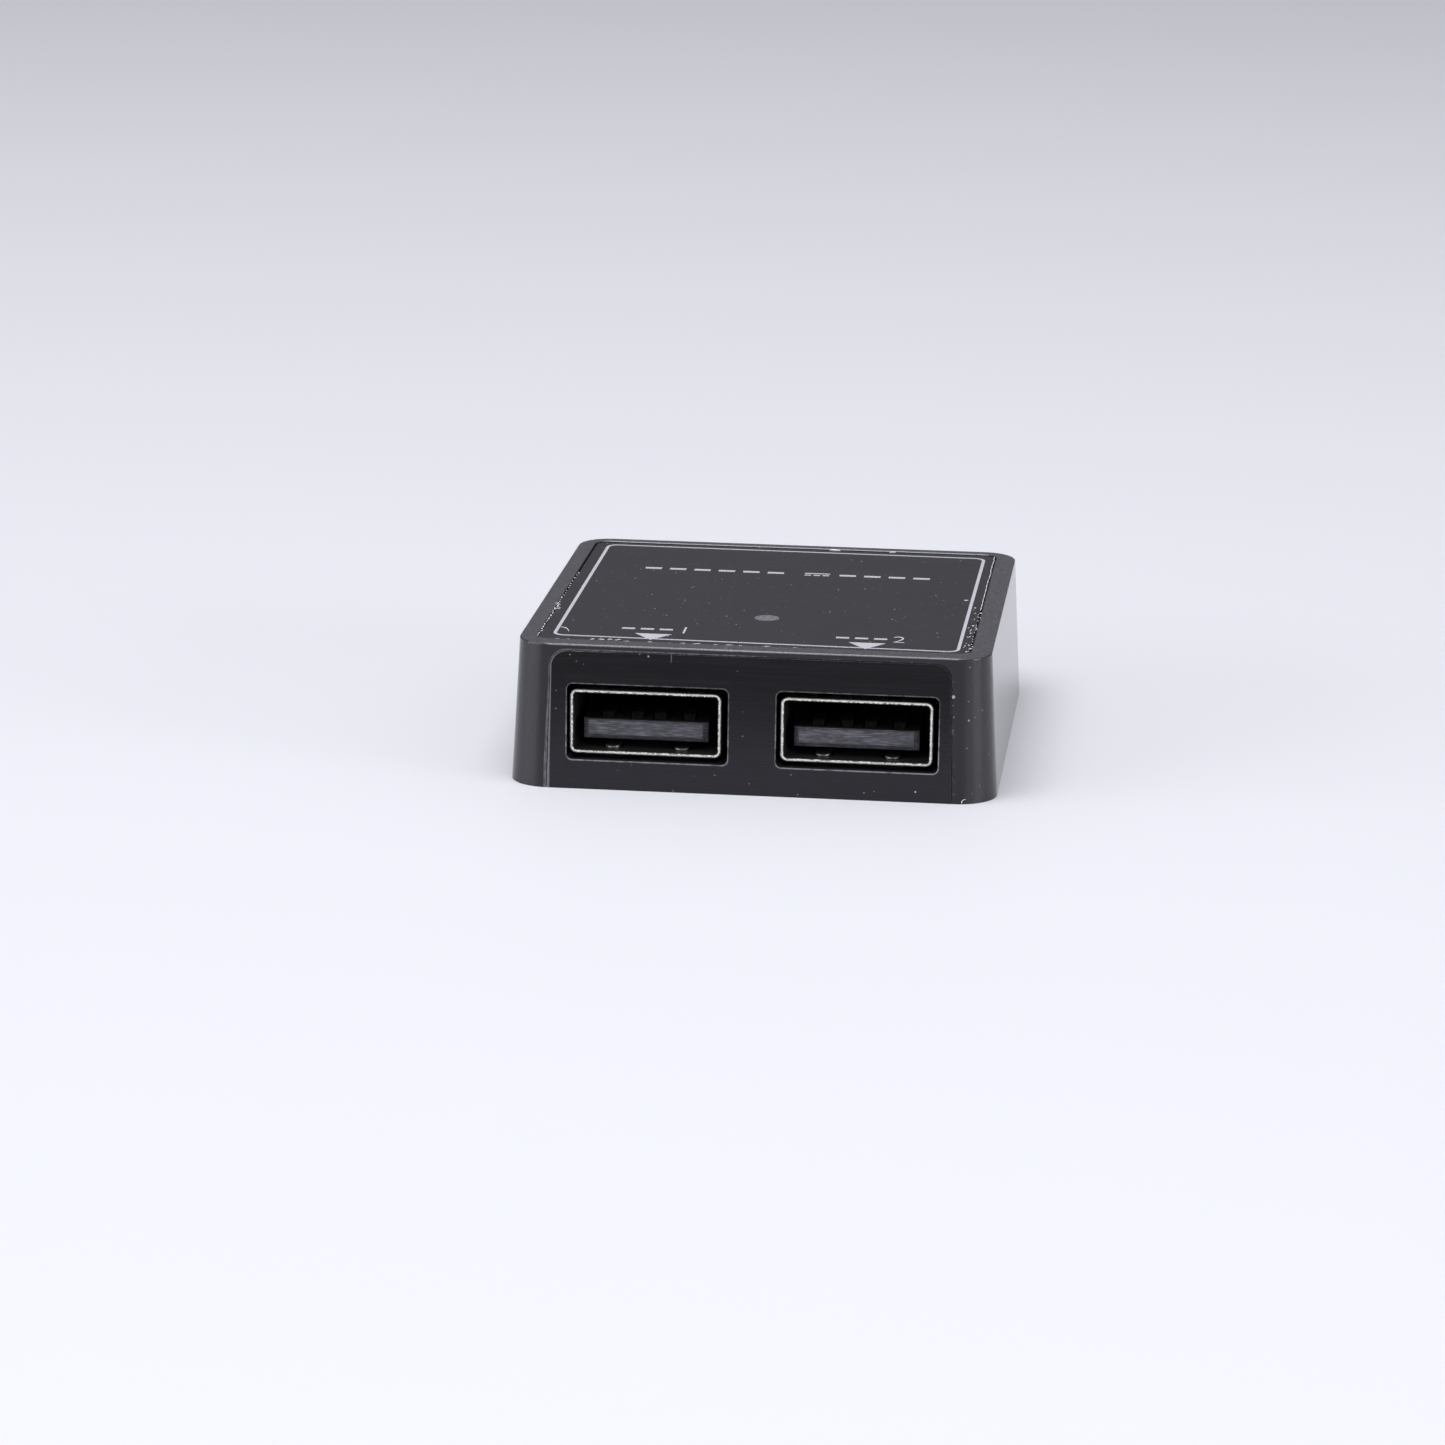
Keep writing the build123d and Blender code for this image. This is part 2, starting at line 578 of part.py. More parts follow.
def supply_connector():
    """Shrouded two-pin header that the supply lead plugs into, under the board."""
    x = (PINS[0][0] + PINS[1][0]) / 2
    y = PINS[0][1]
    mouth = BOARD_UNDER - HEADER_DEPTH
    outer = (about(x, HEADER_OUTER[0]), about(y, HEADER_OUTER[1]))
    inner = (about(x, HEADER_INNER[0]), about(y, HEADER_INNER[1]))
    body = block(*outer, (mouth, BOARD_UNDER - PLAY))
    body -= block(*inner, (mouth - OVER, BOARD_UNDER - HEADER_FLOOR))
    for side in (-1, 1):
        # Keyway for the plug's rib.
        key_y = (y + OVER, y + HEADER_OUTER[1] + OVER)
        body -= block(about(x + side, HEADER_KEY[0]), key_y, (mouth - OVER, mouth + HEADER_KEY[1]))
    for pin_x, pin_y in PINS:
        hole = (about(pin_x, PIN_HALF + PLAY / 2), about(pin_y, PIN_HALF + PLAY / 2))
        body -= block(*hole, (0, BOARD_TOP))
    return body


def connector_pins():
    """The header's two square pins."""
    z = (BOARD_UNDER + PIN_Z[0], BOARD_UNDER + PIN_Z[1])
    return group(block(about(x, PIN_HALF), about(y, PIN_HALF), z) for x, y in PINS)


def cross_recess(x, y, z, radius):
    """Cross slot for the driver, cut upwards into a screw head from z."""
    deep = (z - PLAY, z + CROSS[1])
    across = block(about(x, radius), about(y, CROSS[0]), deep)
    return across + block(about(x, CROSS[0]), about(y, radius), deep)


def base_screws():
    """Four countersunk self-tapping screws, 1.8 x 8, driven up from below."""
    head = BASE_UNDER + PLAY
    tip = head + SCREW_LENGTH
    point = tip - SCREW_POINT[0]
    screws = []
    for x, y in BOSSES:
        body = cone(x, y, (head, head + HEAD_HEIGHT), (HEAD_R, SCREW_R))
        body += post(x, y, (head + HEAD_HEIGHT - PLAY, point), SCREW_R)
        body += cone(x, y, (point, tip), (SCREW_R, SCREW_POINT[1]))
        screws.append(body - cross_recess(x, y, head, HEAD_R / 2))
    return group(screws)


def board_screws():
    """Three pan-head self-tapping screws that hold the board to the case."""
    head = BOARD_UNDER - BOARD_HEAD
    screws = []
    for x, y in BOARD_SCREWS:
        body = cone(x, y, (head, BOARD_UNDER), BOARD_HEAD_R)
        body += post(x, y, (BOARD_UNDER - PLAY, BOARD_TOP + BOARD_SHANK), BOARD_SHANK_R)
        screws.append(body - cross_recess(x, y, head, BOARD_HEAD_R[1] / 2))
    return group(screws)


SINGLE = [
    upper_case, front_panel, base_plate, top_label, light_pipe, indicator_led, circuit_board,
    charge_controller, smoothing_capacitor, ceramic_capacitors, chip_resistors, resettable_fuse,
    supply_connector, connector_pins, cable_grommet, mounting_pad, base_screws, board_screws,
]
PER_PORT = [usb_shell, usb_insulator, usb_contacts]

os.makedirs("parts", exist_ok=True)
for make in SINGLE:
    export_step(make(), f"parts/{make.__name__}.step")
for side, centre in PORTS.items():
    for make in PER_PORT:
        export_step(make(centre), f"parts/{make.__name__}_{side}.step")
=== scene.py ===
import json
import math
import random

import bmesh
import bpy
from mathutils import Matrix, Vector


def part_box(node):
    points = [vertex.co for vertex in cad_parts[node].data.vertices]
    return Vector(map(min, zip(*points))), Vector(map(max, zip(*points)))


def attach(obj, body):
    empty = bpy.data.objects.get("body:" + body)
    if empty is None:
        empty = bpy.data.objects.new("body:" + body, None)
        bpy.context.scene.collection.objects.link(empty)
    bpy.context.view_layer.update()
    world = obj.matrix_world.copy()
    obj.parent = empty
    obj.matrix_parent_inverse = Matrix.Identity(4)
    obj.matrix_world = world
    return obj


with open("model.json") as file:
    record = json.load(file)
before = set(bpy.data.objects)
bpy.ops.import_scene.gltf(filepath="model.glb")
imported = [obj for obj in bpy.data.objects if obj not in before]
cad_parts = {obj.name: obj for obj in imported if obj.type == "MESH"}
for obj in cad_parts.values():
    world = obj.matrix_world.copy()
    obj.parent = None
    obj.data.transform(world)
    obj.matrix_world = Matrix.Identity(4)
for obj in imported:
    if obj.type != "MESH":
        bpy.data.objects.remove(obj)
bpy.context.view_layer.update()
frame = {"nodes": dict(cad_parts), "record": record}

MM = 0.001

# Print on the label, in millimetres in the row frame. A pair is (X, Y) or (wide, high).
BORDER_CORNERS = ((-17.55, -17.45), (17.42, -18.2), (17.5, 17.97), (-17.58, 18.25))
BORDER_WIDTH = 0.29
BORDER_RADIUS = 0.9
INK_THICK = 0.012
INK_LIFT = 0.006               # an arrow's point above the border that it crosses
ARROW_BASES = ((-9.08, -15.85), (9.49, -16.2))      # middles of the arrows' back edges
ARROW_HALF = 1.6
ARROW_LENGTH = 2.2
MARK_STARTS = ((-12.05, -14.15), (6.65, -14.65))    # left ends of the marks behind the arrows
MARK_COUNT = 3
MARK = (1.15, 0.5)
MARK_PITCH = 1.65
NUMERAL_SHIFTS = (5.4, 4.95)   # left feet of the numerals from the marks' left ends
NUMERAL_HEIGHT = 2.2
NUMERAL_SQUEEZE = 0.8
NUMERAL_THINNING = -0.016      # stroke weight, as a share of the font's size
RATING_ENDS = ((-13, 9.3), (13.1, 8.85))            # row of dashes round the direct-current sign
RATING_DASHES = (6, 4)         # dashes to the left and right of the sign
DASH = (1.5, 0.6)
DASH_PITCH = 2.25
SIGN_X = 2.8
SIGN_BAR = (2.3, 0.32)
SIGN_DASH = (0.6, 0.32)
SIGN_PITCH = 0.82
SIGN_RISE = 0.35               # bar and dashes above and below the row's middle

# Front of the box, with painted highlights along its edges and on the ports' cut rims
PANEL_MIDDLE = -0.1
PANEL_HALF = (17.477, 17.2)    # half-width of the panel at its foot and at its top
PANEL_RADIUS = 1.4
OPENING_MIDDLE = 0.125         # between the two openings
OPENING_REACH = 9.045          # from there to the middle of each
OPENING_Z = 5.92
OPENING_HALF = (7.02, 3.39)
OPENING_RADIUS = 0.56
PORT_Z = 5.9
SHELL_HALF_HEIGHT = 2.835
SHELL_RADIUS = 0.62
LATCH_INSIDE = 2.53            # a latch stands nearer to the port's middle than this

# On the circuit board
CHIP_HALF = 1.97               # half-width of the regulator chip's body, across its leads
CAN_LENGTH = 8.0


# ---------------------------------------------------------------- material nodes


class Finish:
    """A procedural material being built. Its place vector is in millimetres in the row frame."""

    def __init__(self, name, metallic=0.0, ior=1.5, coat=0.0):
        self.material = bpy.data.materials.new(name)
        self.material.use_nodes = True
        self.tree = self.material.node_tree
        self.bsdf = next(n for n in self.tree.nodes if n.type == "BSDF_PRINCIPLED")
        self.bsdf.inputs["Metallic"].default_value = metallic
        self.bsdf.inputs["IOR"].default_value = ior
        self.bsdf.inputs["Coat Weight"].default_value = coat
        coords = self.tree.nodes.new("ShaderNodeTexCoord").outputs["Object"]
        self.place = self.vector("SCALE", coords, scale=1 / MM)
        split = self.tree.nodes.new("ShaderNodeSeparateXYZ")
        self.tree.links.new(self.place, split.inputs[0])
        self.x, self.y, self.z = split.outputs
        facing = self.tree.nodes.new("ShaderNodeSeparateXYZ")
        geometry = self.tree.nodes.new("ShaderNodeNewGeometry")
        self.tree.links.new(geometry.outputs["Normal"], facing.inputs[0])
        self.facing_x, self.facing_y, self.facing_z = facing.outputs

    def put(self, socket, value):
        """Links a socket to another node's output, or sets it to a constant."""
        if isinstance(value, bpy.types.NodeSocket):
            self.tree.links.new(value, socket)
        else:
            socket.default_value = value

    def math(self, operation, a, b=0.0):
        node = self.tree.nodes.new("ShaderNodeMath")
        node.operation = operation
        self.put(node.inputs[0], a)
        self.put(node.inputs[1], b)
        return node.outputs[0]

    def vector(self, operation, a, b=None, scale=None):
        node = self.tree.nodes.new("ShaderNodeVectorMath")
        node.operation = operation
        self.put(node.inputs[0], a)
        if b is not None:
            self.put(node.inputs[1], b)
        if scale is not None:
            self.put(node.inputs["Scale"], scale)
        return node.outputs["Vector"]

    def stretched(self, x, y, z):
        """The place vector with each axis scaled, for streaks and brushed marks."""
        return self.vector("MULTIPLY", self.place, (x, y, z))

    def noise(self, scale, detail=2.0, roughness=0.5, at=None):
        node = self.tree.nodes.new("ShaderNodeTexNoise")
        self.put(node.inputs["Vector"], at or self.place)
        self.put(node.inputs["Scale"], scale)
        self.put(node.inputs["Detail"], detail)
        self.put(node.inputs["Roughness"], roughness)
        return node.outputs[0]

    def cells(self, scale, at=None):
        """Voronoi cells: distance from each cell's middle, and a random number for each cell."""
        node = self.tree.nodes.new("ShaderNodeTexVoronoi")
        self.put(node.inputs["Vector"], at or self.place)
        self.put(node.inputs["Scale"], scale)
        split = self.tree.nodes.new("ShaderNodeSeparateColor")
        self.tree.links.new(node.outputs["Color"], split.inputs[0])
        return node.outputs["Distance"], split.outputs[0]

    def ramp(self, value, low, high, to_low=0.0, to_high=1.0):
        """Smooth change from to_low to to_high as value goes from low to high."""
        node = self.tree.nodes.new("ShaderNodeMapRange")
        node.interpolation_type = "SMOOTHSTEP"
        self.put(node.inputs["Value"], value)
        ends = {"From Min": low, "From Max": high, "To Min": to_low, "To Max": to_high}
        for name, number in ends.items():
            self.put(node.inputs[name], number)
        return node.outputs[0]

    def blend(self, factor, a, b):
        """Colour a where factor is 0 and b where it is 1. A colour is three numbers or an output."""
        node = self.tree.nodes.new("ShaderNodeMix")
        node.data_type = "RGBA"
        self.put(node.inputs[0], factor)
        for socket, colour in ((node.inputs[6], a), (node.inputs[7], b)):
            self.put(socket, (*colour, 1.0) if isinstance(colour, tuple) else colour)
        return node.outputs[2]

    def difference(self, a, b):
        return self.math("SUBTRACT", a, b)

    def size_of(self, value):
        return self.math("ABSOLUTE", value)

    def outline(self, across, up, half, high, radius):
        """Distance in mm outside a rounded rectangle of two half-sizes; negative inside it."""
        squares = []
        for place, size in ((across, half), (up, high)):
            past = self.difference(self.size_of(place), self.difference(size, radius))
            past = self.math("MAXIMUM", past, 0.0)
            squares.append(self.times(past, past))
        return self.difference(self.math("SQRT", self.math("ADD", *squares)), radius)

    def band(self, value, low, high, soft):
        """1 between low and high, 0 elsewhere, with soft edges."""
        rise = self.ramp(value, low - soft, low)
        return self.times(rise, self.ramp(value, high, high + soft, 1.0, 0.0))

    def times(self, *values):
        """Product of outputs and numbers."""
        product = values[0]
        for value in values[1:]:
            product = self.math("MULTIPLY", product, value)
        return product

    def blend_value(self, factor, a, b):
        """Number a where factor is 0 and b where it is 1."""
        return self.math("ADD", self.times(self.difference(1.0, factor), a), self.times(factor, b))

    def specks(self, pitch, size, share):
        """Mask of small round grains, one in a share of cells pitch mm apart."""
        distance, number = self.cells(1 / pitch)
        chosen = self.ramp(number, 1 - share, 1 - share * 0.8)
        near = self.difference(self.times(chosen, size / pitch), distance)
        return self.ramp(near, 0.0, 0.3 * size / pitch)

    def bumps(self, layers, edge=0.0):
        """Adds relief from (height output, depth in mm) pairs, over edges rounded to a radius in mm."""
        normal = None
        if edge:
            node = self.tree.nodes.new("ShaderNodeBevel")
            node.samples = 6
            node.inputs["Radius"].default_value = edge * MM
            normal = node.outputs[0]
        for height, depth in layers:
            node = self.tree.nodes.new("ShaderNodeBump")
            node.inputs["Distance"].default_value = depth * MM
            self.put(node.inputs["Height"], height)
            if normal is not None:
                self.put(node.inputs["Normal"], normal)
            normal = node.outputs[0]
        self.put(self.bsdf.inputs["Normal"], normal)

    def surface(self, colour, roughness):
        self.put(self.bsdf.inputs["Base Color"], (*colour, 1.0) if isinstance(colour, tuple) else colour)
        self.put(self.bsdf.inputs["Roughness"], roughness)
        return self.material


def dusty(f, colour, amount=1.0):
    """Colour with fine pale dust and a few lint grains over it."""
    fine = f.times(f.specks(0.6, 0.07, 0.35 * amount), 0.4)
    middling = f.times(f.specks(1.1, 0.10, 0.32 * amount), 0.65)
    coarse = f.times(f.specks(2.9, 0.17, 0.14 * amount), 0.8)
    dust = f.math("MAXIMUM", fine, f.math("MAXIMUM", middling, coarse))
    return f.blend(dust, colour, (0.42, 0.42, 0.44))


def panel_outline(f):
    """Distance in mm outside the front panel's outline, which narrows upwards."""
    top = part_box("front_panel")[1].z / MM
    half = f.ramp(f.z, 0.0, top, *PANEL_HALF)
    return f.outline(f.difference(f.x, PANEL_MIDDLE), f.z, half, top, PANEL_RADIUS)


def moulded_case(name, tone=1.0):
    """Black plastic with a fine grain: dull on top, glossier on its sides. Its colour is painted lighter on
    top and darker on the front, with painted highlights along its top front edge and along the panel's seam.
    """
    f = Finish(name, ior=1.5)
    up = f.ramp(f.facing_z, 0.55, 0.98)
    flank = f.ramp(f.size_of(f.facing_x), 0.8, 0.97)
    broad = f.noise(0.25, 3.0)
    grain = f.noise(6.0, 3.0, 0.7)
    fine = f.noise(14.0, 2.0, 0.6)
    dark, pale = (tuple(tone * c for c in side) for side in ((0.012, 0.0115, 0.0145), (0.021, 0.020, 0.025)))
    side = f.blend(broad, dark, pale)
    # Painted shade: faces turned to the front are coloured darkest
    side = f.blend(f.ramp(f.facing_y, -0.995, -0.93, 1.0, 0.0), side, (0.004, 0.0038, 0.0055))
    # Painted light: the top is coloured lighter than the sides
    top = f.blend(f.ramp(grain, 0.38, 0.62), (0.030, 0.030, 0.032), (0.074, 0.074, 0.080))
    colour = f.blend(up, side, top)

    # Top edge of the front: a painted highlight along its fillet, broken up by fine noise
    edge = f.times(f.band(f.facing_z, 0.25, 0.8, 0.1), f.ramp(f.facing_y, -0.45, -0.25, 1.0, 0.0))
    between_posts = f.ramp(f.size_of(f.x), 17.4, 17.9, 1.0, 0.1)
    edge = f.times(edge, f.ramp(f.z, 12.54, 12.6), between_posts)
    colour = f.blend(f.times(edge, f.ramp(fine, 0.3, 0.6, 0.5, 0.9)), colour, (0.20, 0.20, 0.215))

    # Edge of the corner posts along the panel's seam: a painted highlight band, full on the left, in flecks
    # on the right
    width = f.ramp(f.z, 0.0, 12.0, 0.33, 0.16)
    seam = f.band(f.math("DIVIDE", panel_outline(f), width), 0.2, 0.9, 0.12)
    seam = f.times(seam, f.ramp(f.facing_y, -0.9, -0.6, 1.0, 0.0))
    rub_and_glint = f.ramp(f.noise(1.0, 3.0, 0.7, at=f.stretched(2.0, 1.0, 0.8)), 0.36, 0.6, 0.35, 1.0)
    flecks = f.ramp(f.noise(1.6, 3.0, 0.7), 0.56, 0.66)
    # Strength of the painted seam highlight, from left to right
    seam_glint = f.blend_value(f.ramp(f.x, -2.0, 2.0), 0.85, f.times(flecks, 0.5))
    colour = f.blend(f.times(seam, rub_and_glint, seam_glint), colour, (0.115, 0.115, 0.125))

    rough = f.math("ADD", f.ramp(up, 0.0, 1.0, 0.22, 0.4), f.times(f.difference(fine, 0.5), 0.12))
    rough = f.difference(rough, f.times(flank, 0.13))
    relief = f.times(f.ramp(up, 0.0, 1.0, 0.25, 1.0), f.ramp(flank, 0.0, 1.0, 1.0, 0.3))
    f.bumps([(f.times(grain, relief), 0.014), (f.times(fine, relief), 0.006)])
    return f.surface(dusty(f, colour, 0.6), rough)


def smooth_panel():
    """Polished black plastic with flow lines and one scratch, coloured lighter towards its foot as a painted
    reflection, with painted highlights along its edges and the openings' lower rims.
    """
    f = Finish("panel_plastic", ior=1.32)
    streak = f.noise(1.0, 4.0, 0.6, at=f.stretched(0.12, 0.5, 5.0))
    lines = f.noise(1.0, 2.0, 0.5, at=f.stretched(0.05, 0.5, 26.0))
    # Painted reflection: lighter towards the foot, where the floor in front would be reflected, near-black at
    # the top
    colour = f.blend(f.ramp(f.z, 0.5, 11.0), (0.0138, 0.0135, 0.0172), (0.0004, 0.0003, 0.0014))
    colour = f.blend(f.ramp(streak, 0.42, 0.7, 0.0, 0.18), colour, (0.022, 0.022, 0.027))
    rub_and_glint = f.ramp(f.noise(1.0, 3.0, 0.7, at=f.stretched(1.2, 1.0, 1.2)), 0.36, 0.6, 0.25, 1.0)

    # Painted highlights: a hairline along the outer edge, strongest on the left, and a band down the left
    # edge, widest at the foot
    front = f.ramp(f.facing_y, -0.95, -0.6, 1.0, 0.0)
    edge = panel_outline(f)
    left = f.ramp(f.x, -14.0, -11.0, 1.0, 0.2)
    hairline = f.times(f.band(edge, -0.05, 0.0, 0.02), rub_and_glint, left, front)
    glint_band_distance = f.math("ADD", edge, f.ramp(f.z, 0.0, 12.0, 0.24, 0.08))
    foot = f.times(f.ramp(glint_band_distance, 0.0, 0.05), f.ramp(f.x, -17.0, -16.5, 1.0, 0.0), front)

    # Painted highlights on the edges of the two openings, brightest below, where the lead-in faces up
    across = f.difference(f.size_of(f.difference(f.x, OPENING_MIDDLE)), OPENING_REACH)
    opening = f.outline(across, f.difference(f.z, OPENING_Z), *OPENING_HALF, OPENING_RADIUS)
    lower = f.ramp(f.z, 3.0, 8.6, 1.0, 0.4)
    outer = f.ramp(across, -7.0, 7.0, 0.8, 1.0)
    open_face = f.ramp(f.facing_y, -0.45, -0.3, 1.0, 0.0)
    rim = f.times(f.band(opening, -0.05, 0.03, 0.02), lower, outer, rub_and_glint, open_face)

    # One upright scratch below the top edge
    leaning = f.difference(f.x, f.times(f.z, 0.02))
    scratch = f.times(f.band(leaning, -7.15, -7.11, 0.02), f.ramp(f.z, 11.3, 11.6))

    # Painted highlights and the scratch share one pale colour
    pale = f.math("MAXIMUM", f.math("MAXIMUM", f.times(hairline, 0.75), f.times(foot, 0.7)),
                  f.math("MAXIMUM", f.times(rim, 1.3), f.times(scratch, 0.6)))
    colour = f.blend(pale, colour, (0.19, 0.19, 0.20))
    f.bumps([(lines, 0.0003), (streak, 0.0015)], edge=0.07)
    return f.surface(dusty(f, colour, 0.45), f.ramp(streak, 0.3, 0.7, 0.24, 0.34))


def label_overlay():
    """Satin black plastic film, printed from above, with fine dust on it."""
    f = Finish("label_film", ior=1.4)
    broad = f.noise(0.12, 3.0)
    fine = f.noise(9.0, 2.0, 0.6)
    colour = f.blend(broad, (0.012, 0.0115, 0.0137), (0.0158, 0.0152, 0.018))
    rough = f.ramp(f.noise(0.5, 3.0), 0.3, 0.7, 0.33, 0.37)
    f.bumps([(fine, 0.0012)], edge=0.05)
    return f.surface(dusty(f, colour, 1.0), rough)


def silver_ink():
    """Screen-printed silver-grey ink, a little thin in places."""
    f = Finish("silver_ink")
    thin = f.ramp(f.noise(5.0, 4.0, 0.7), 0.45, 0.75)
    colour = f.blend(thin, (0.50, 0.50, 0.52), (0.36, 0.36, 0.38))
    f.bumps([(f.noise(14.0, 2.0), 0.003)])
    return f.surface(colour, f.ramp(thin, 0.0, 1.0, 0.42, 0.55))


def port_steel():
    """Tin-plated sheet, dull and dark grey inside the port, with a ragged bright band on its mouth's cut rim
    and on the latches' crests: cut metal, with a painted highlight of their rounded edges.
    """
    f = Finish("port_steel", metallic=1.0)
    low, high = (Vector(c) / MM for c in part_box("usb_shell_right"))
    across = f.difference(f.size_of(f.x), (low.x + high.x) / 2)
    up = f.difference(f.z, PORT_Z)
    grain = f.noise(1.0, 3.0, 0.6, at=f.stretched(14.0, 0.8, 14.0))
    ragged = f.noise(4.5, 4.0, 0.75)
    depth = f.outline(across, up, (high.x - low.x) / 2, SHELL_HALF_HEIGHT, SHELL_RADIUS)
    depth = f.math("ADD", depth, f.times(f.difference(ragged, 0.5), 0.26))
    # Bright band on the inner part of the mouth's rim, its outer part left dark: cut metal, with a painted
    # highlight and painted shade of its rounded edge
    mouth = f.times(f.ramp(f.y, low.y + 0.02, low.y + 0.08, 1.0, 0.0), f.band(depth, -0.22, -0.09, 0.03))
    inside = f.ramp(f.size_of(up), LATCH_INSIDE - 0.03, LATCH_INSIDE, 1.0, 0.0)
    # Painted highlight on the crests of the latches
    latch = f.times(f.ramp(f.facing_y, -0.6, -0.3, 1.0, 0.0), inside,
                    f.ramp(f.y, low.y + 0.3, low.y + 0.5), f.ramp(f.y, low.y + 2.4, low.y + 2.5, 1.0, 0.0))
    sheared_glint = f.math("MAXIMUM", mouth, f.times(latch, 0.55))
    plate = f.blend(grain, (0.045, 0.044, 0.041), (0.085, 0.083, 0.078))
    cut = f.blend(f.ramp(ragged, 0.38, 0.56), (0.44, 0.43, 0.38), (0.90, 0.88, 0.81))
    f.bumps([(grain, 0.004), (f.times(ragged, sheared_glint), 0.02)])
    return f.surface(f.blend(sheared_glint, plate, cut), f.ramp(sheared_glint, 0.0, 1.0, 0.5, 0.36))


def port_insulator():
    """Glass-filled nylon: black, with a paler mottled nose where plugs have rubbed it."""
    f = Finish("port_insulator", ior=1.33)
    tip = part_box("usb_insulator_left")[0].y / MM
    mottle = f.noise(1.0, 4.0, 0.65, at=f.stretched(1.1, 1.6, 2.4))
    scuff = f.noise(1.0, 3.0, 0.6, at=f.stretched(0.8, 3.0, 9.0))
    nose = f.times(f.ramp(f.y, tip + 0.48, tip + 0.6, 1.0, 0.0), f.ramp(f.facing_z, 0.5, 0.9, 1.0, 0.3))
    body = f.blend(mottle, (0.008, 0.008, 0.009), (0.016, 0.016, 0.018))
    rub_and_glint = f.blend(f.ramp(mottle, 0.35, 0.65), (0.043, 0.043, 0.051), (0.073, 0.073, 0.085))
    rub_and_glint = f.blend(f.ramp(scuff, 0.46, 0.7, 0.0, 0.6), rub_and_glint, (0.20, 0.20, 0.21))
    f.bumps([(mottle, 0.012), (f.noise(9.0, 3.0), 0.005)], edge=0.06)
    return f.surface(f.blend(nose, body, rub_and_glint), f.ramp(mottle, 0.3, 0.7, 0.42, 0.6))


def contact_metal():
    """Worn and tarnished plating, dark grey, with drawn grain along the beam."""
    f = Finish("contact_metal", metallic=1.0)
    drawn = f.noise(1.0, 3.0, 0.6, at=f.stretched(18.0, 0.7, 6.0))
    tarnish = f.ramp(f.noise(1.4, 4.0, 0.7), 0.35, 0.6)
    colour = f.blend(drawn, (0.075, 0.071, 0.060), (0.12, 0.114, 0.10))
    f.bumps([(drawn, 0.004)])
    return f.surface(f.blend(tarnish, colour, (0.042, 0.040, 0.034)), f.ramp(tarnish, 0.0, 1.0, 0.34, 0.5))


def milky_light_pipe():
    """Acrylic pin, polished on its end, cloudy inside."""
    f = Finish("light_pipe", ior=1.49)
    f.bsdf.inputs["Subsurface Weight"].default_value = 0.4
    f.bsdf.inputs["Subsurface Radius"].default_value = (0.4 * MM, 0.4 * MM, 0.45 * MM)
    cloud = f.noise(2.4, 3.0)
    colour = f.blend(f.ramp(cloud, 0.35, 0.65), (0.125, 0.13, 0.14), (0.165, 0.17, 0.18))
    f.bumps([(f.noise(7.0, 2.0), 0.003)])
    return f.surface(colour, f.ramp(cloud, 0.3, 0.7, 0.3, 0.42))


def clear_lamp():
    """Lamp chip: amber resin over a white ceramic foot."""
    f = Finish("lamp_resin", ior=1.52)
    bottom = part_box("indicator_led")[0].z / MM
    grain = f.noise(6.0, 3.0)
    resin = f.blend(grain, (0.72, 0.62, 0.30), (0.80, 0.74, 0.46))
    foot = f.ramp(f.z, bottom + 0.14, bottom + 0.18, 1.0, 0.0)
    f.bumps([(grain, 0.004)])
    return f.surface(f.blend(foot, resin, (0.8, 0.8, 0.77)), f.ramp(grain, 0.3, 0.7, 0.2, 0.35))


def board_laminate():
    """Green solder resist over glass weave, with copper traces showing through as paler lines."""
    f = Finish("board_laminate", coat=0.3)
    weave = f.times(f.math("SINE", f.times(f.x, 9.0)), f.math("SINE", f.times(f.y, 9.0)))
    number = f.cells(0.22)[1]
    shifted = f.math("ADD", f.x, f.times(number, 3.0))
    trace = f.ramp(f.math("PINGPONG", shifted, 0.9), 0.55, 0.62)
    routed = f.times(trace, f.ramp(number, 0.35, 0.4))
    colour = f.blend(weave, (0.010, 0.095, 0.035), (0.014, 0.115, 0.045))
    colour = f.blend(f.times(routed, 0.6), colour, (0.03, 0.21, 0.08))
    laminate = f.ramp(f.noise(1.0, 3.0, at=f.stretched(1.5, 1.5, 12.0)), 0.5, 0.75, 0.0, 0.25)
    f.bumps([(weave, 0.003), (routed, 0.02)])
    colour = f.blend(laminate, colour, (0.20, 0.22, 0.10))
    return f.surface(colour, f.ramp(f.noise(1.2), 0.3, 0.7, 0.26, 0.38))


def moulded_compound():
    """Black moulding compound with a fine frosted grain, and tinned leads below it."""
    f = Finish("chip_epoxy")
    low, high = (Vector(c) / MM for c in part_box("charge_controller"))
    middle = (low.y + high.y) / 2
    lead = f.ramp(f.size_of(f.difference(f.y, middle)), CHIP_HALF, CHIP_HALF + 0.03)
    grain = f.noise(11.0, 3.0, 0.7)
    body = f.blend(grain, (0.016, 0.016, 0.018), (0.034, 0.034, 0.036))
    tin = f.blend(grain, (0.52, 0.52, 0.52), (0.72, 0.72, 0.71))
    f.bumps([(grain, 0.006)], edge=0.04)
    f.put(f.bsdf.inputs["Metallic"], lead)
    return f.surface(f.blend(lead, body, tin), f.ramp(lead, 0.0, 1.0, 0.62, 0.34))


def fired_chip(name, dark, pale, rough):
    """Fired or glazed chip body: granular, no two pieces of quite the same tone."""
    f = Finish(name)
    grain = f.noise(8.0, 4.0, 0.7)
    batch = f.tree.nodes.new("ShaderNodeNewGeometry").outputs["Random Per Island"]
    shade = tuple(0.6 * c for c in dark)
    colour = f.blend(f.times(batch, 0.4), f.blend(grain, dark, pale), shade)
    f.bumps([(grain, 0.008)], edge=0.05)
    return f.surface(colour, f.ramp(grain, 0.3, 0.7, rough, rough + 0.15))


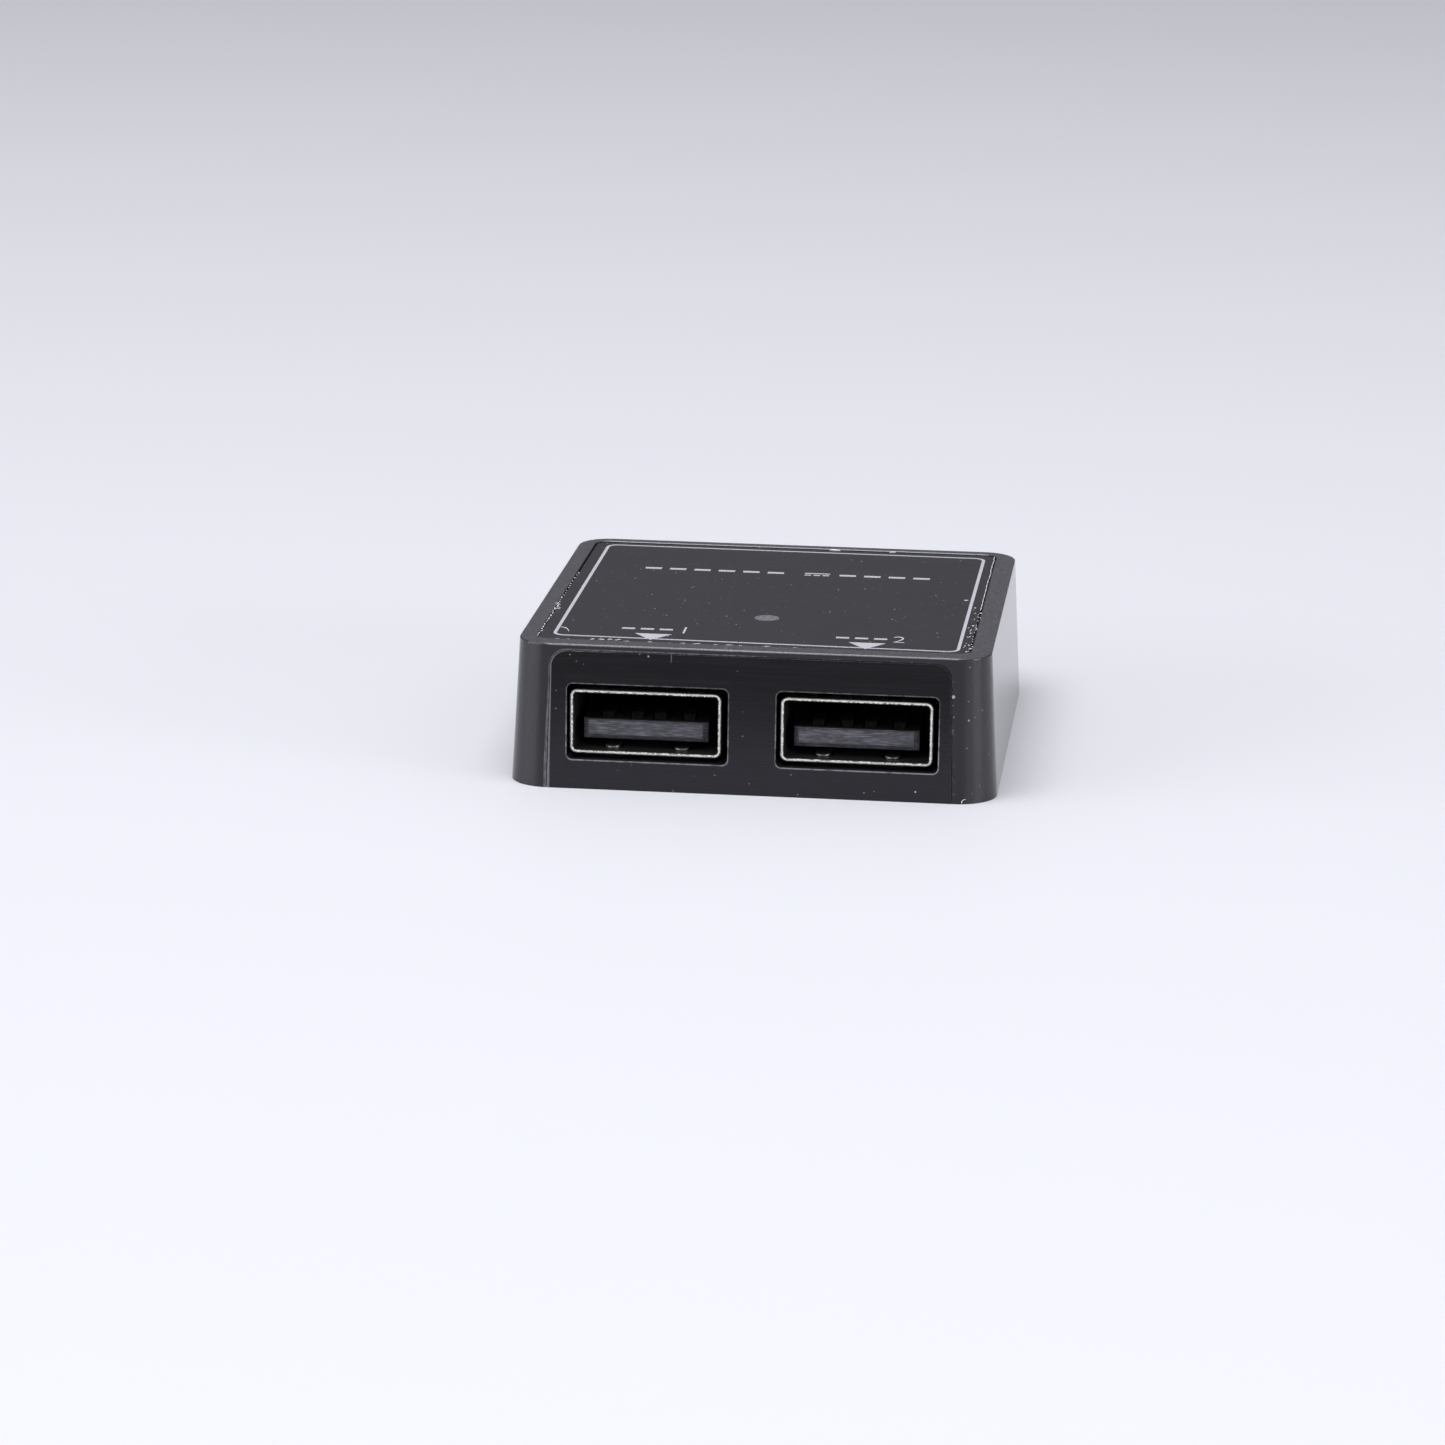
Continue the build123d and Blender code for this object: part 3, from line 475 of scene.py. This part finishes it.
def capacitor_sleeve():
    """Shrink sleeve with a pale polarity stripe, over an aluminium can that shows at both ends."""
    f = Finish("capacitor_sleeve")
    low, high = (Vector(c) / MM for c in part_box("smoothing_capacitor"))
    middle = (low.x + high.x) / 2
    can_start = high.y - CAN_LENGTH
    wrinkle = f.noise(1.0, 3.0, 0.6, at=f.stretched(1.2, 4.0, 1.2))
    stripe = f.ramp(f.difference(f.x, middle), 1.9, 1.95)
    sleeve = f.blend(wrinkle, (0.018, 0.022, 0.05), (0.03, 0.036, 0.075))
    colour = f.blend(stripe, sleeve, (0.30, 0.31, 0.34))
    front_end = f.ramp(f.y, can_start, can_start + 0.1, 1.0, 0.0)
    bare = f.math("MAXIMUM", f.ramp(f.y, high.y - 0.12, high.y - 0.06), front_end)
    brushed = f.blend(f.noise(16.0, 2.0), (0.55, 0.55, 0.56), (0.74, 0.74, 0.74))
    f.put(f.bsdf.inputs["Metallic"], bare)
    f.bumps([(wrinkle, 0.02)])
    return f.surface(f.blend(bare, colour, brushed), f.ramp(wrinkle, 0.3, 0.7, 0.3, 0.42))


def header_nylon():
    """Natural nylon, slightly translucent, with faint flow marks and a warm cast."""
    f = Finish("header_nylon", ior=1.53)
    f.bsdf.inputs["Subsurface Weight"].default_value = 0.25
    f.bsdf.inputs["Subsurface Radius"].default_value = (0.6 * MM, 0.5 * MM, 0.4 * MM)
    flow = f.noise(1.0, 3.0, 0.6, at=f.stretched(0.8, 0.8, 2.6))
    f.bumps([(flow, 0.01), (f.noise(10.0), 0.003)], edge=0.06)
    return f.surface(f.blend(flow, (0.66, 0.64, 0.56), (0.82, 0.80, 0.73)), f.ramp(flow, 0.3, 0.7, 0.38, 0.5))


def tinned_pin():
    """Matt tin plate with drawing lines along the pin."""
    f = Finish("tinned_pin", metallic=1.0)
    drawn = f.noise(1.0, 3.0, 0.6, at=f.stretched(20.0, 20.0, 1.0))
    f.bumps([(drawn, 0.004)], edge=0.05)
    colour = f.blend(drawn, (0.52, 0.52, 0.52), (0.76, 0.76, 0.75))
    return f.surface(colour, f.ramp(drawn, 0.3, 0.7, 0.3, 0.45))


def moulded_rubber():
    """Black rubber with a talc bloom in its hollows and a fine skin."""
    f = Finish("grommet_rubber", ior=1.52)
    bloom = f.ramp(f.noise(1.6, 4.0, 0.7), 0.5, 0.75, 0.0, 0.35)
    skin = f.noise(7.0, 3.0, 0.6)
    f.bumps([(skin, 0.01)], edge=0.08)
    colour = f.blend(skin, (0.012, 0.012, 0.012), (0.022, 0.022, 0.022))
    return f.surface(f.blend(bloom, colour, (0.07, 0.07, 0.07)), f.ramp(skin, 0.3, 0.7, 0.6, 0.75))


def pad_foam():
    """Grey acrylic foam: closed cells cut open on its faces and edges."""
    f = Finish("pad_foam")
    distance, number = f.cells(3.4)
    fine, fine_number = f.cells(8.0)
    shade = f.ramp(distance, 0.1, 0.55)
    colour = f.blend(shade, (0.10, 0.10, 0.105), (0.20, 0.20, 0.205))
    colour = f.blend(f.times(fine_number, 0.25), colour, (0.26, 0.26, 0.26))
    f.bumps([(distance, 0.06), (fine, 0.02)])
    return f.surface(colour, f.ramp(number, 0.0, 1.0, 0.55, 0.75))


def zinc_screw():
    """Black zinc over steel, turned marks on the heads, rubbed bright round the driver's cross."""
    f = Finish("screw_steel", metallic=1.0)
    turned = f.noise(1.0, 2.0, 0.5, at=f.stretched(3.0, 3.0, 16.0))
    rub_and_glint = f.ramp(f.noise(3.2, 4.0, 0.7), 0.52, 0.7)
    colour = f.blend(turned, (0.06, 0.06, 0.065), (0.13, 0.13, 0.14))
    f.bumps([(turned, 0.012)], edge=0.06)
    return f.surface(f.blend(rub_and_glint, colour, (0.36, 0.36, 0.35)), f.ramp(rub_and_glint, 0.0, 1.0, 0.42, 0.3))


FINISHES = {
    "case_plastic": moulded_case("case_plastic"),
    "base_plastic": moulded_case("base_plastic", 0.85),
    "panel_plastic": smooth_panel(),
    "label_film": label_overlay(),
    "light_pipe": milky_light_pipe(),
    "port_steel": port_steel(),
    "port_insulator": port_insulator(),
    "contact_metal": contact_metal(),
    "board_laminate": board_laminate(),
    "chip_epoxy": moulded_compound(),
    "ceramic_chip": fired_chip("ceramic_chip", (0.30, 0.20, 0.11), (0.46, 0.33, 0.20), 0.42),
    "resistor_chip": fired_chip("resistor_chip", (0.02, 0.02, 0.022), (0.06, 0.06, 0.062), 0.25),
    "fuse_body": fired_chip("fuse_body", (0.05, 0.16, 0.07), (0.10, 0.25, 0.12), 0.35),
    "capacitor_sleeve": capacitor_sleeve(),
    "header_nylon": header_nylon(),
    "tinned_pin": tinned_pin(),
    "lamp_resin": clear_lamp(),
    "grommet_rubber": moulded_rubber(),
    "pad_foam": pad_foam(),
    "screw_steel": zinc_screw(),
}


def dress_frame():
    """Gives each CAD node the finish of its material slot in the record."""
    for part in frame["record"]["subparts"]:
        node = frame["nodes"][part["node"]]
        node.data.materials.clear()
        node.data.materials.append(FINISHES[part["material_slot"]])


# ---------------------------------------------------------------- printing on the label


def add_piece(name, shape, material):
    """Makes an object of a bmesh and lets it ride on the box."""
    bmesh.ops.recalc_face_normals(shape, faces=shape.faces)
    mesh = bpy.data.meshes.new(name)
    shape.to_mesh(mesh)
    shape.free()
    mesh.materials.append(material)
    piece = bpy.data.objects.new(name, mesh)
    bpy.context.scene.collection.objects.link(piece)
    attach(piece, "root")


def ink_heights():
    """Underside and top of the print, just into and just above the label's face, in metres."""
    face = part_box("top_label")[1].z
    return face - INK_THICK * MM, face + INK_THICK * MM


def ink_piece(name, outlines, material, lift=0.0):
    """Thin raised print from closed outlines in mm, lifted where it crosses other print."""
    shape = bmesh.new()
    below, above = ink_heights()
    above += lift * MM
    for outline in outlines:
        low, high = ([shape.verts.new((x * MM, y * MM, z)) for x, y in outline] for z in (below, above))
        shape.faces.new(high)
        shape.faces.new(low[::-1])
        for i in range(len(outline)):
            shape.faces.new((low[i - 1], low[i], high[i], high[i - 1]))
    add_piece(name, shape, material)


def rounded_outline(corners, radius, steps=8):
    """Closed outline through four corners, anticlockwise, each rounded by an arc."""
    points = []
    count = len(corners)
    for i in range(count):
        here = Vector(corners[i])
        back = (Vector(corners[i - 1]) - here).normalized()
        ahead = (Vector(corners[(i + 1) % count]) - here).normalized()
        centre = here + (back + ahead) * radius
        start = here + back * radius - centre
        turn = start.angle_signed(here + ahead * radius - centre)
        for k in range(steps + 1):
            arm = Matrix.Rotation(-turn * k / steps, 2) @ start
            points.append(tuple(centre + arm))
    return points


def border_piece(material):
    """The printed frame: a closed band between two rounded outlines."""
    shape = bmesh.new()
    rings = []
    for side in (-0.5, 0.5):
        grow = BORDER_WIDTH * side
        corners = [tuple(c + grow * math.copysign(1, c) for c in corner) for corner in BORDER_CORNERS]
        outline = rounded_outline(corners, BORDER_RADIUS + grow)
        rings += [[shape.verts.new((x * MM, y * MM, z)) for x, y in outline] for z in ink_heights()]
    inner_low, inner_high, outer_low, outer_high = rings
    ring = (inner_low, outer_low, outer_high, inner_high)
    for one, other in zip(ring, ring[1:] + ring[:1]):
        for i in range(len(one)):
            shape.faces.new((one[i - 1], one[i], other[i], other[i - 1]))
    add_piece("label_border", shape, material)


def rectangle(x, y, size):
    """Outline of an upright rectangle about a point."""
    wide, high = (half / 2 for half in size)
    return [(x - wide, y - high), (x + wide, y - high), (x + wide, y + high), (x - wide, y + high)]


def numeral(name, digit, x, y, material):
    """Port number in a plain font, NUMERAL_HEIGHT tall, its left foot at a point."""
    curve = bpy.data.curves.new(name, "FONT")
    curve.body = str(digit)
    curve.extrude = 0.01
    curve.offset = NUMERAL_THINNING
    text = bpy.data.objects.new(name, curve)
    bpy.context.scene.collection.objects.link(text)
    bpy.context.view_layer.update()
    shape = bmesh.new()
    shape.from_mesh(bpy.data.meshes.new_from_object(text))
    bpy.data.objects.remove(text)
    bmesh.ops.remove_doubles(shape, verts=shape.verts, dist=1e-5)
    left = min(v.co.x for v in shape.verts)
    foot = min(v.co.y for v in shape.verts)
    grow = NUMERAL_HEIGHT * MM / (max(v.co.y for v in shape.verts) - foot)
    low, high = ink_heights()
    for vert in shape.verts:
        across = (vert.co.x - left) * grow * NUMERAL_SQUEEZE
        up = (vert.co.y - foot) * grow
        vert.co = (x * MM + across, y * MM + up, high if vert.co.z > 0 else low)
    add_piece(name, shape, material)


def port_print(digit, arrow, start, shift, ink):
    """Arrow that points at a port, with marks and the port's number behind it."""
    (x, y), (left, row) = arrow, start
    outline = [(x - ARROW_HALF, y), (x, y - ARROW_LENGTH), (x + ARROW_HALF, y)]
    ink_piece(f"arrow_{digit}", [outline], ink, INK_LIFT)
    marks = [rectangle(left + MARK[0] / 2 + MARK_PITCH * i, row, MARK) for i in range(MARK_COUNT)]
    ink_piece(f"marks_{digit}", marks, ink)
    numeral(f"numeral_{digit}", digit, left + shift, row - NUMERAL_HEIGHT / 2, ink)


def label_printing():
    """Frame, port arrows with their numbers, and a row of dashes round the direct-current sign."""
    ink = silver_ink()
    border_piece(ink)
    for digit, arrow, start, shift in zip((1, 2), ARROW_BASES, MARK_STARTS, NUMERAL_SHIFTS):
        port_print(digit, arrow, start, shift, ink)
    (first, y_first), (last, y_last) = RATING_ENDS
    slope = (y_last - y_first) / (last - first)
    row = y_first + slope * (SIGN_X - first)
    sign = [rectangle(SIGN_X, row + SIGN_RISE, SIGN_BAR)]
    sign += [rectangle(SIGN_X + SIGN_PITCH * i, row - SIGN_RISE, SIGN_DASH) for i in (-1, 0, 1)]
    ink_piece("direct_current_sign", sign, ink)
    before, after = RATING_DASHES
    places = [first + DASH[0] / 2 + DASH_PITCH * i for i in range(before)]
    places += [last - DASH[0] / 2 - DASH_PITCH * i for i in range(after)]
    ink_piece("rating_dashes", [rectangle(x, y_first + slope * (x - first), DASH) for x in places], ink)


# ---------------------------------------------------------------- lint, and burrs on the label's cut edge

# Places along the label's edges, in mm: where the burrs are of another kind
LEFT_BURRS_THIN = -3.5         # sparse behind this Y
LEFT_BURRS_END = 6.2
LEFT_TANGLE = (-9.0, -3.8)
TANGLE_COUNT = 8
FRONT_CURLS = (-15.6, -11.5)
FRONT_BURRS_END = 4.0
RIGHT_BURRS_START = -17.0
RIGHT_LINE_START = -3.0

# Loose pieces on the top and one fibre on the front's foot: radius, then points in mm
LOOSE_ON_TOP = (
    (0.04, ((-17.42, -14.67), (-17.05, -14.73), (-16.78, -15.05), (-16.58, -15.55), (-16.41, -16.15))),
    (0.06, ((16.75, 0.91), (16.85, 0.96), (17.0, 1.0), (17.1, 1.02))),
    (0.1, ((3.0, 19.25), (3.3, 19.35), (3.7, 19.3), (4.0, 19.2))),
    (0.08, ((8.6, 19.2), (8.9, 19.35), (9.2, 19.4))),
)
FIBRE_AT_FOOT = (
    0.035, ((18.27, -21.18, 0.06), (18.25, -21.19, 0.25), (18.36, -21.19, 0.38), (18.6, -21.18, 0.46)),
)
GRAINS = 34
GRAIN_COLUMNS = (17.9, 18.05, 18.35, 18.5, 19.3)
GRAIN_REACH = (-18.55, 17.0)   # first Y and length of the strip they lie in, densest at its start


def strand(shape, points, radius):
    """Adds a tapered strand along points in mm to a bmesh."""
    rings = []
    for i, point in enumerate(points):
        before = Vector(points[max(i - 1, 0)])
        after = Vector(points[min(i + 1, len(points) - 1)])
        along = (after - before).normalized()
        side = along.cross(Vector((0, 0, 1))).normalized() if abs(along.z) < 0.9 else Vector((1, 0, 0))
        over = side.cross(along) * 0.7
        reach = radius * math.sin(math.pi * (i + 0.6) / (len(points) + 0.2))
        ring = []
        for k in range(6):
            angle = math.radians(60 * k)
            arm = side * math.cos(angle) + over * math.sin(angle)
            ring.append(shape.verts.new((Vector(point) + arm * reach) * MM))
        rings.append(ring)
    for one, other in zip(rings, rings[1:]):
        for k in range(6):
            shape.faces.new((one[k - 1], one[k], other[k], other[k - 1]))
    shape.faces.new(rings[0][::-1])
    shape.faces.new(rings[-1])


def wander(chance, start, heading, length, sway, steps=6):
    """Points of a strand that wanders level from a start, in mm."""
    x, y, z = start
    points = []
    for _ in range(steps):
        points.append((x, y, z))
        heading += chance.uniform(-sway, sway)
        x += math.cos(heading) * length / (steps - 1)
        y += math.sin(heading) * length / (steps - 1)
    return points


def pale_fibre():
    """White plastic fibre and lint, cloudy and uneven."""
    f = Finish("pale_fibre")
    cloud = f.noise(7.0, 3.0, 0.7)
    f.bumps([(cloud, 0.01)])
    return f.surface(f.blend(f.ramp(cloud, 0.35, 0.65), (0.62, 0.62, 0.64), (0.88, 0.88, 0.90)), 0.6)


def left_burrs(shape, chance, low, z):
    """Short dashes along the left edge, with a tangle of curls in its front half."""
    y = low.y + 0.3
    while y < LEFT_BURRS_END:
        sparse = y > LEFT_BURRS_THIN
        length = chance.uniform(0.1, 0.35) if sparse else chance.uniform(0.15, 0.6)
        place = (low.x + chance.uniform(-0.06, 0.06), y, z)
        strand(shape, wander(chance, place, math.radians(90), length, 0.25), chance.uniform(0.04, 0.065))
        y += length + (chance.uniform(0.3, 1.0) if sparse else chance.uniform(0.15, 0.55))
    for _ in range(TANGLE_COUNT):
        place = (low.x + chance.uniform(-0.1, 0.12), chance.uniform(*LEFT_TANGLE),
                 z + chance.uniform(0.0, 0.05))
        curl = wander(chance, place, chance.uniform(0.6, 2.4), chance.uniform(0.35, 0.8), 0.8, 7)
        strand(shape, curl, chance.uniform(0.028, 0.042))


def front_burrs(shape, chance, low, z):
    """Curls near the left end of the front edge, then straight slivers further apart."""
    x = low.x + 1.6
    while x < FRONT_BURRS_END:
        curl = FRONT_CURLS[0] < x < FRONT_CURLS[1]
        length = chance.uniform(0.3, 0.8)
        place = (x, low.y + (chance.uniform(0.05, 0.35) if curl else chance.uniform(-0.04, 0.04)), z)
        strand(shape, wander(chance, place, 0.0, length, 1.1 if curl else 0.15), 0.05 if curl else 0.035)
        x += length + (chance.uniform(0.0, 0.2) if curl else chance.uniform(0.4, 1.9))


def right_burrs(shape, chance, high, z):
    """Dots along the front half of the right edge, and one pale line along the rest of it."""
    y = RIGHT_BURRS_START
    while y < RIGHT_LINE_START:
        length = chance.uniform(0.08, 0.25)
        place = (high.x - 0.03 + chance.uniform(-0.05, 0.05), y, z)
        strand(shape, wander(chance, place, math.radians(90), length, 0.2, 4), chance.uniform(0.03, 0.05))
        y += length + chance.uniform(0.3, 1.5)
    while y < high.y - 1.0:
        length = chance.uniform(1.4, 3.2)
        strand(shape, wander(chance, (high.x - 0.03, y, z - 0.01), math.radians(90), length, 0.02), 0.036)
        y += length * 0.92


def edge_burrs(material):
    """Slivers that the cutting left along the label's edge, thickest at its left and front."""
    chance = random.Random(7)
    low, high = (Vector(c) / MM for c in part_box("top_label"))
    z = high.z + 0.05
    shape = bmesh.new()
    left_burrs(shape, chance, low, z)
    front_burrs(shape, chance, low, z)
    right_burrs(shape, chance, high, z)
    add_piece("label_edge_burrs", shape, material)


def lint(material):
    """Loose grains and hairs on the top and at the foot, where the box has picked them up."""
    chance = random.Random(11)
    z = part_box("top_label")[1].z / MM + 0.02
    shape = bmesh.new()
    for radius, points in LOOSE_ON_TOP:
        strand(shape, [(x, y, z) for x, y in points], radius)
    radius, points = FIBRE_AT_FOOT
    strand(shape, points, radius)
    first, length = GRAIN_REACH
    for _ in range(GRAINS):
        y = first + length * chance.random() ** 1.4
        place = (chance.choice(GRAIN_COLUMNS) + chance.uniform(-0.2, 0.2), y, z)
        grain = wander(chance, place, chance.uniform(0, 6), chance.uniform(0.08, 0.22), 0.8, 4)
        strand(shape, grain, chance.uniform(0.03, 0.07))
    add_piece("lint", shape, material)


# ---------------------------------------------------------------- floor, light and camera

CAMERA_PLACE = (41.2 * MM, -416.05 * MM, 111.5 * MM)
CAMERA_YAW = -6.30         # degrees, to the left of +Y
CAMERA_PITCH = 14.82       # degrees below the horizon
CAMERA_ROLL = -0.68
CAMERA_LENS = 119.6

SKY_HEIGHTS = (0.1, 0.75)      # sines of the heights between which the sky brightens
SKY_STRENGTHS = (0.18, 0.53)
SKY_COLOUR = (0.97, 0.96, 1.06, 1.0)
LIGHT_COLOUR = (0.99, 0.98, 1.04)
LIGHTS = {                     # place and size in metres, power in watts
    "overhead": ((-0.05, -0.25, 0.9), (0.8, 0.6), 7.95),
    "left_side": ((-0.9, -0.5, 0.22), (0.9, 0.4), 5.2),
    "right_side": ((0.9, -0.38, 0.17), (0.45, 0.3), 3.7),
}
FLOOR_REACH = 4.0              # metres from the box to the floor's edges


def pale_floor():
    """Wide plain floor, pale grey with a trace of blue."""
    f = Finish("floor_paint")
    tone = f.noise(0.004, 2.0)
    material = f.surface(f.blend(tone, (0.69, 0.705, 0.71), (0.705, 0.72, 0.725)), 0.5)
    mesh = bpy.data.meshes.new("floor")
    corners = [(x * FLOOR_REACH, y * FLOOR_REACH, 0) for x, y in ((-1, -1), (1, -1), (1, 1), (-1, 1))]
    mesh.from_pydata(corners, [], [(0, 1, 2, 3)])
    mesh.materials.append(material)
    floor = bpy.data.objects.new("floor", mesh)
    bpy.context.scene.collection.objects.link(floor)


def soft_box(name, place, size, power):
    """Rectangular studio light aimed at the box."""
    light = bpy.data.lights.new(name, "AREA")
    light.shape = "RECTANGLE"
    light.size, light.size_y = size
    light.energy = power
    light.color = LIGHT_COLOUR
    lamp = bpy.data.objects.new(name, light)
    lamp.location = place
    lamp.rotation_mode = "QUATERNION"
    lamp.rotation_quaternion = (-Vector(place)).to_track_quat("-Z", "Y")
    bpy.context.scene.collection.objects.link(lamp)


def studio():
    """Even light from above, dark near the horizon, with one light overhead and one at each side."""
    world = bpy.data.worlds.new("studio")
    bpy.context.scene.world = world
    world.use_nodes = True
    tree = world.node_tree
    background = next(n for n in tree.nodes if n.type == "BACKGROUND")
    coords = tree.nodes.new("ShaderNodeTexCoord")
    split = tree.nodes.new("ShaderNodeSeparateXYZ")
    ramp = tree.nodes.new("ShaderNodeMapRange")
    ramp.interpolation_type = "SMOOTHSTEP"
    ramp.inputs["From Min"].default_value, ramp.inputs["From Max"].default_value = SKY_HEIGHTS
    ramp.inputs["To Min"].default_value, ramp.inputs["To Max"].default_value = SKY_STRENGTHS
    tree.links.new(coords.outputs["Generated"], split.inputs[0])
    tree.links.new(split.outputs["Z"], ramp.inputs["Value"])
    tree.links.new(ramp.outputs[0], background.inputs["Strength"])
    background.inputs["Color"].default_value = SKY_COLOUR
    for name, (place, size, power) in LIGHTS.items():
        soft_box(name, place, size, power)


def camera():
    """Camera at the viewing angle that shows the front, the top and a sliver of the right side."""
    yaw, pitch, roll = (math.radians(a) for a in (CAMERA_YAW, CAMERA_PITCH, CAMERA_ROLL))
    ahead = Vector((math.sin(yaw) * math.cos(pitch), math.cos(yaw) * math.cos(pitch), -math.sin(pitch)))
    level = Vector((math.cos(yaw), -math.sin(yaw), 0))
    down = ahead.cross(level)
    right = level * math.cos(roll) + down * math.sin(roll)
    up = level * math.sin(roll) - down * math.cos(roll)
    data = bpy.data.cameras.new("camera")
    data.lens = CAMERA_LENS
    data.sensor_width = 36.0
    data.clip_start = 0.01
    data.clip_end = 20.0
    eye = bpy.data.objects.new("camera", data)
    eye.matrix_world = Matrix.Translation(CAMERA_PLACE) @ Matrix((right, up, -ahead)).transposed().to_4x4()
    bpy.context.scene.collection.objects.link(eye)
    bpy.context.scene.camera = eye


bpy.context.scene.view_settings.view_transform = "Standard"
camera()
studio()
pale_floor()
dress_frame()
label_printing()
fibre = pale_fibre()
edge_burrs(fibre)
lint(fibre)
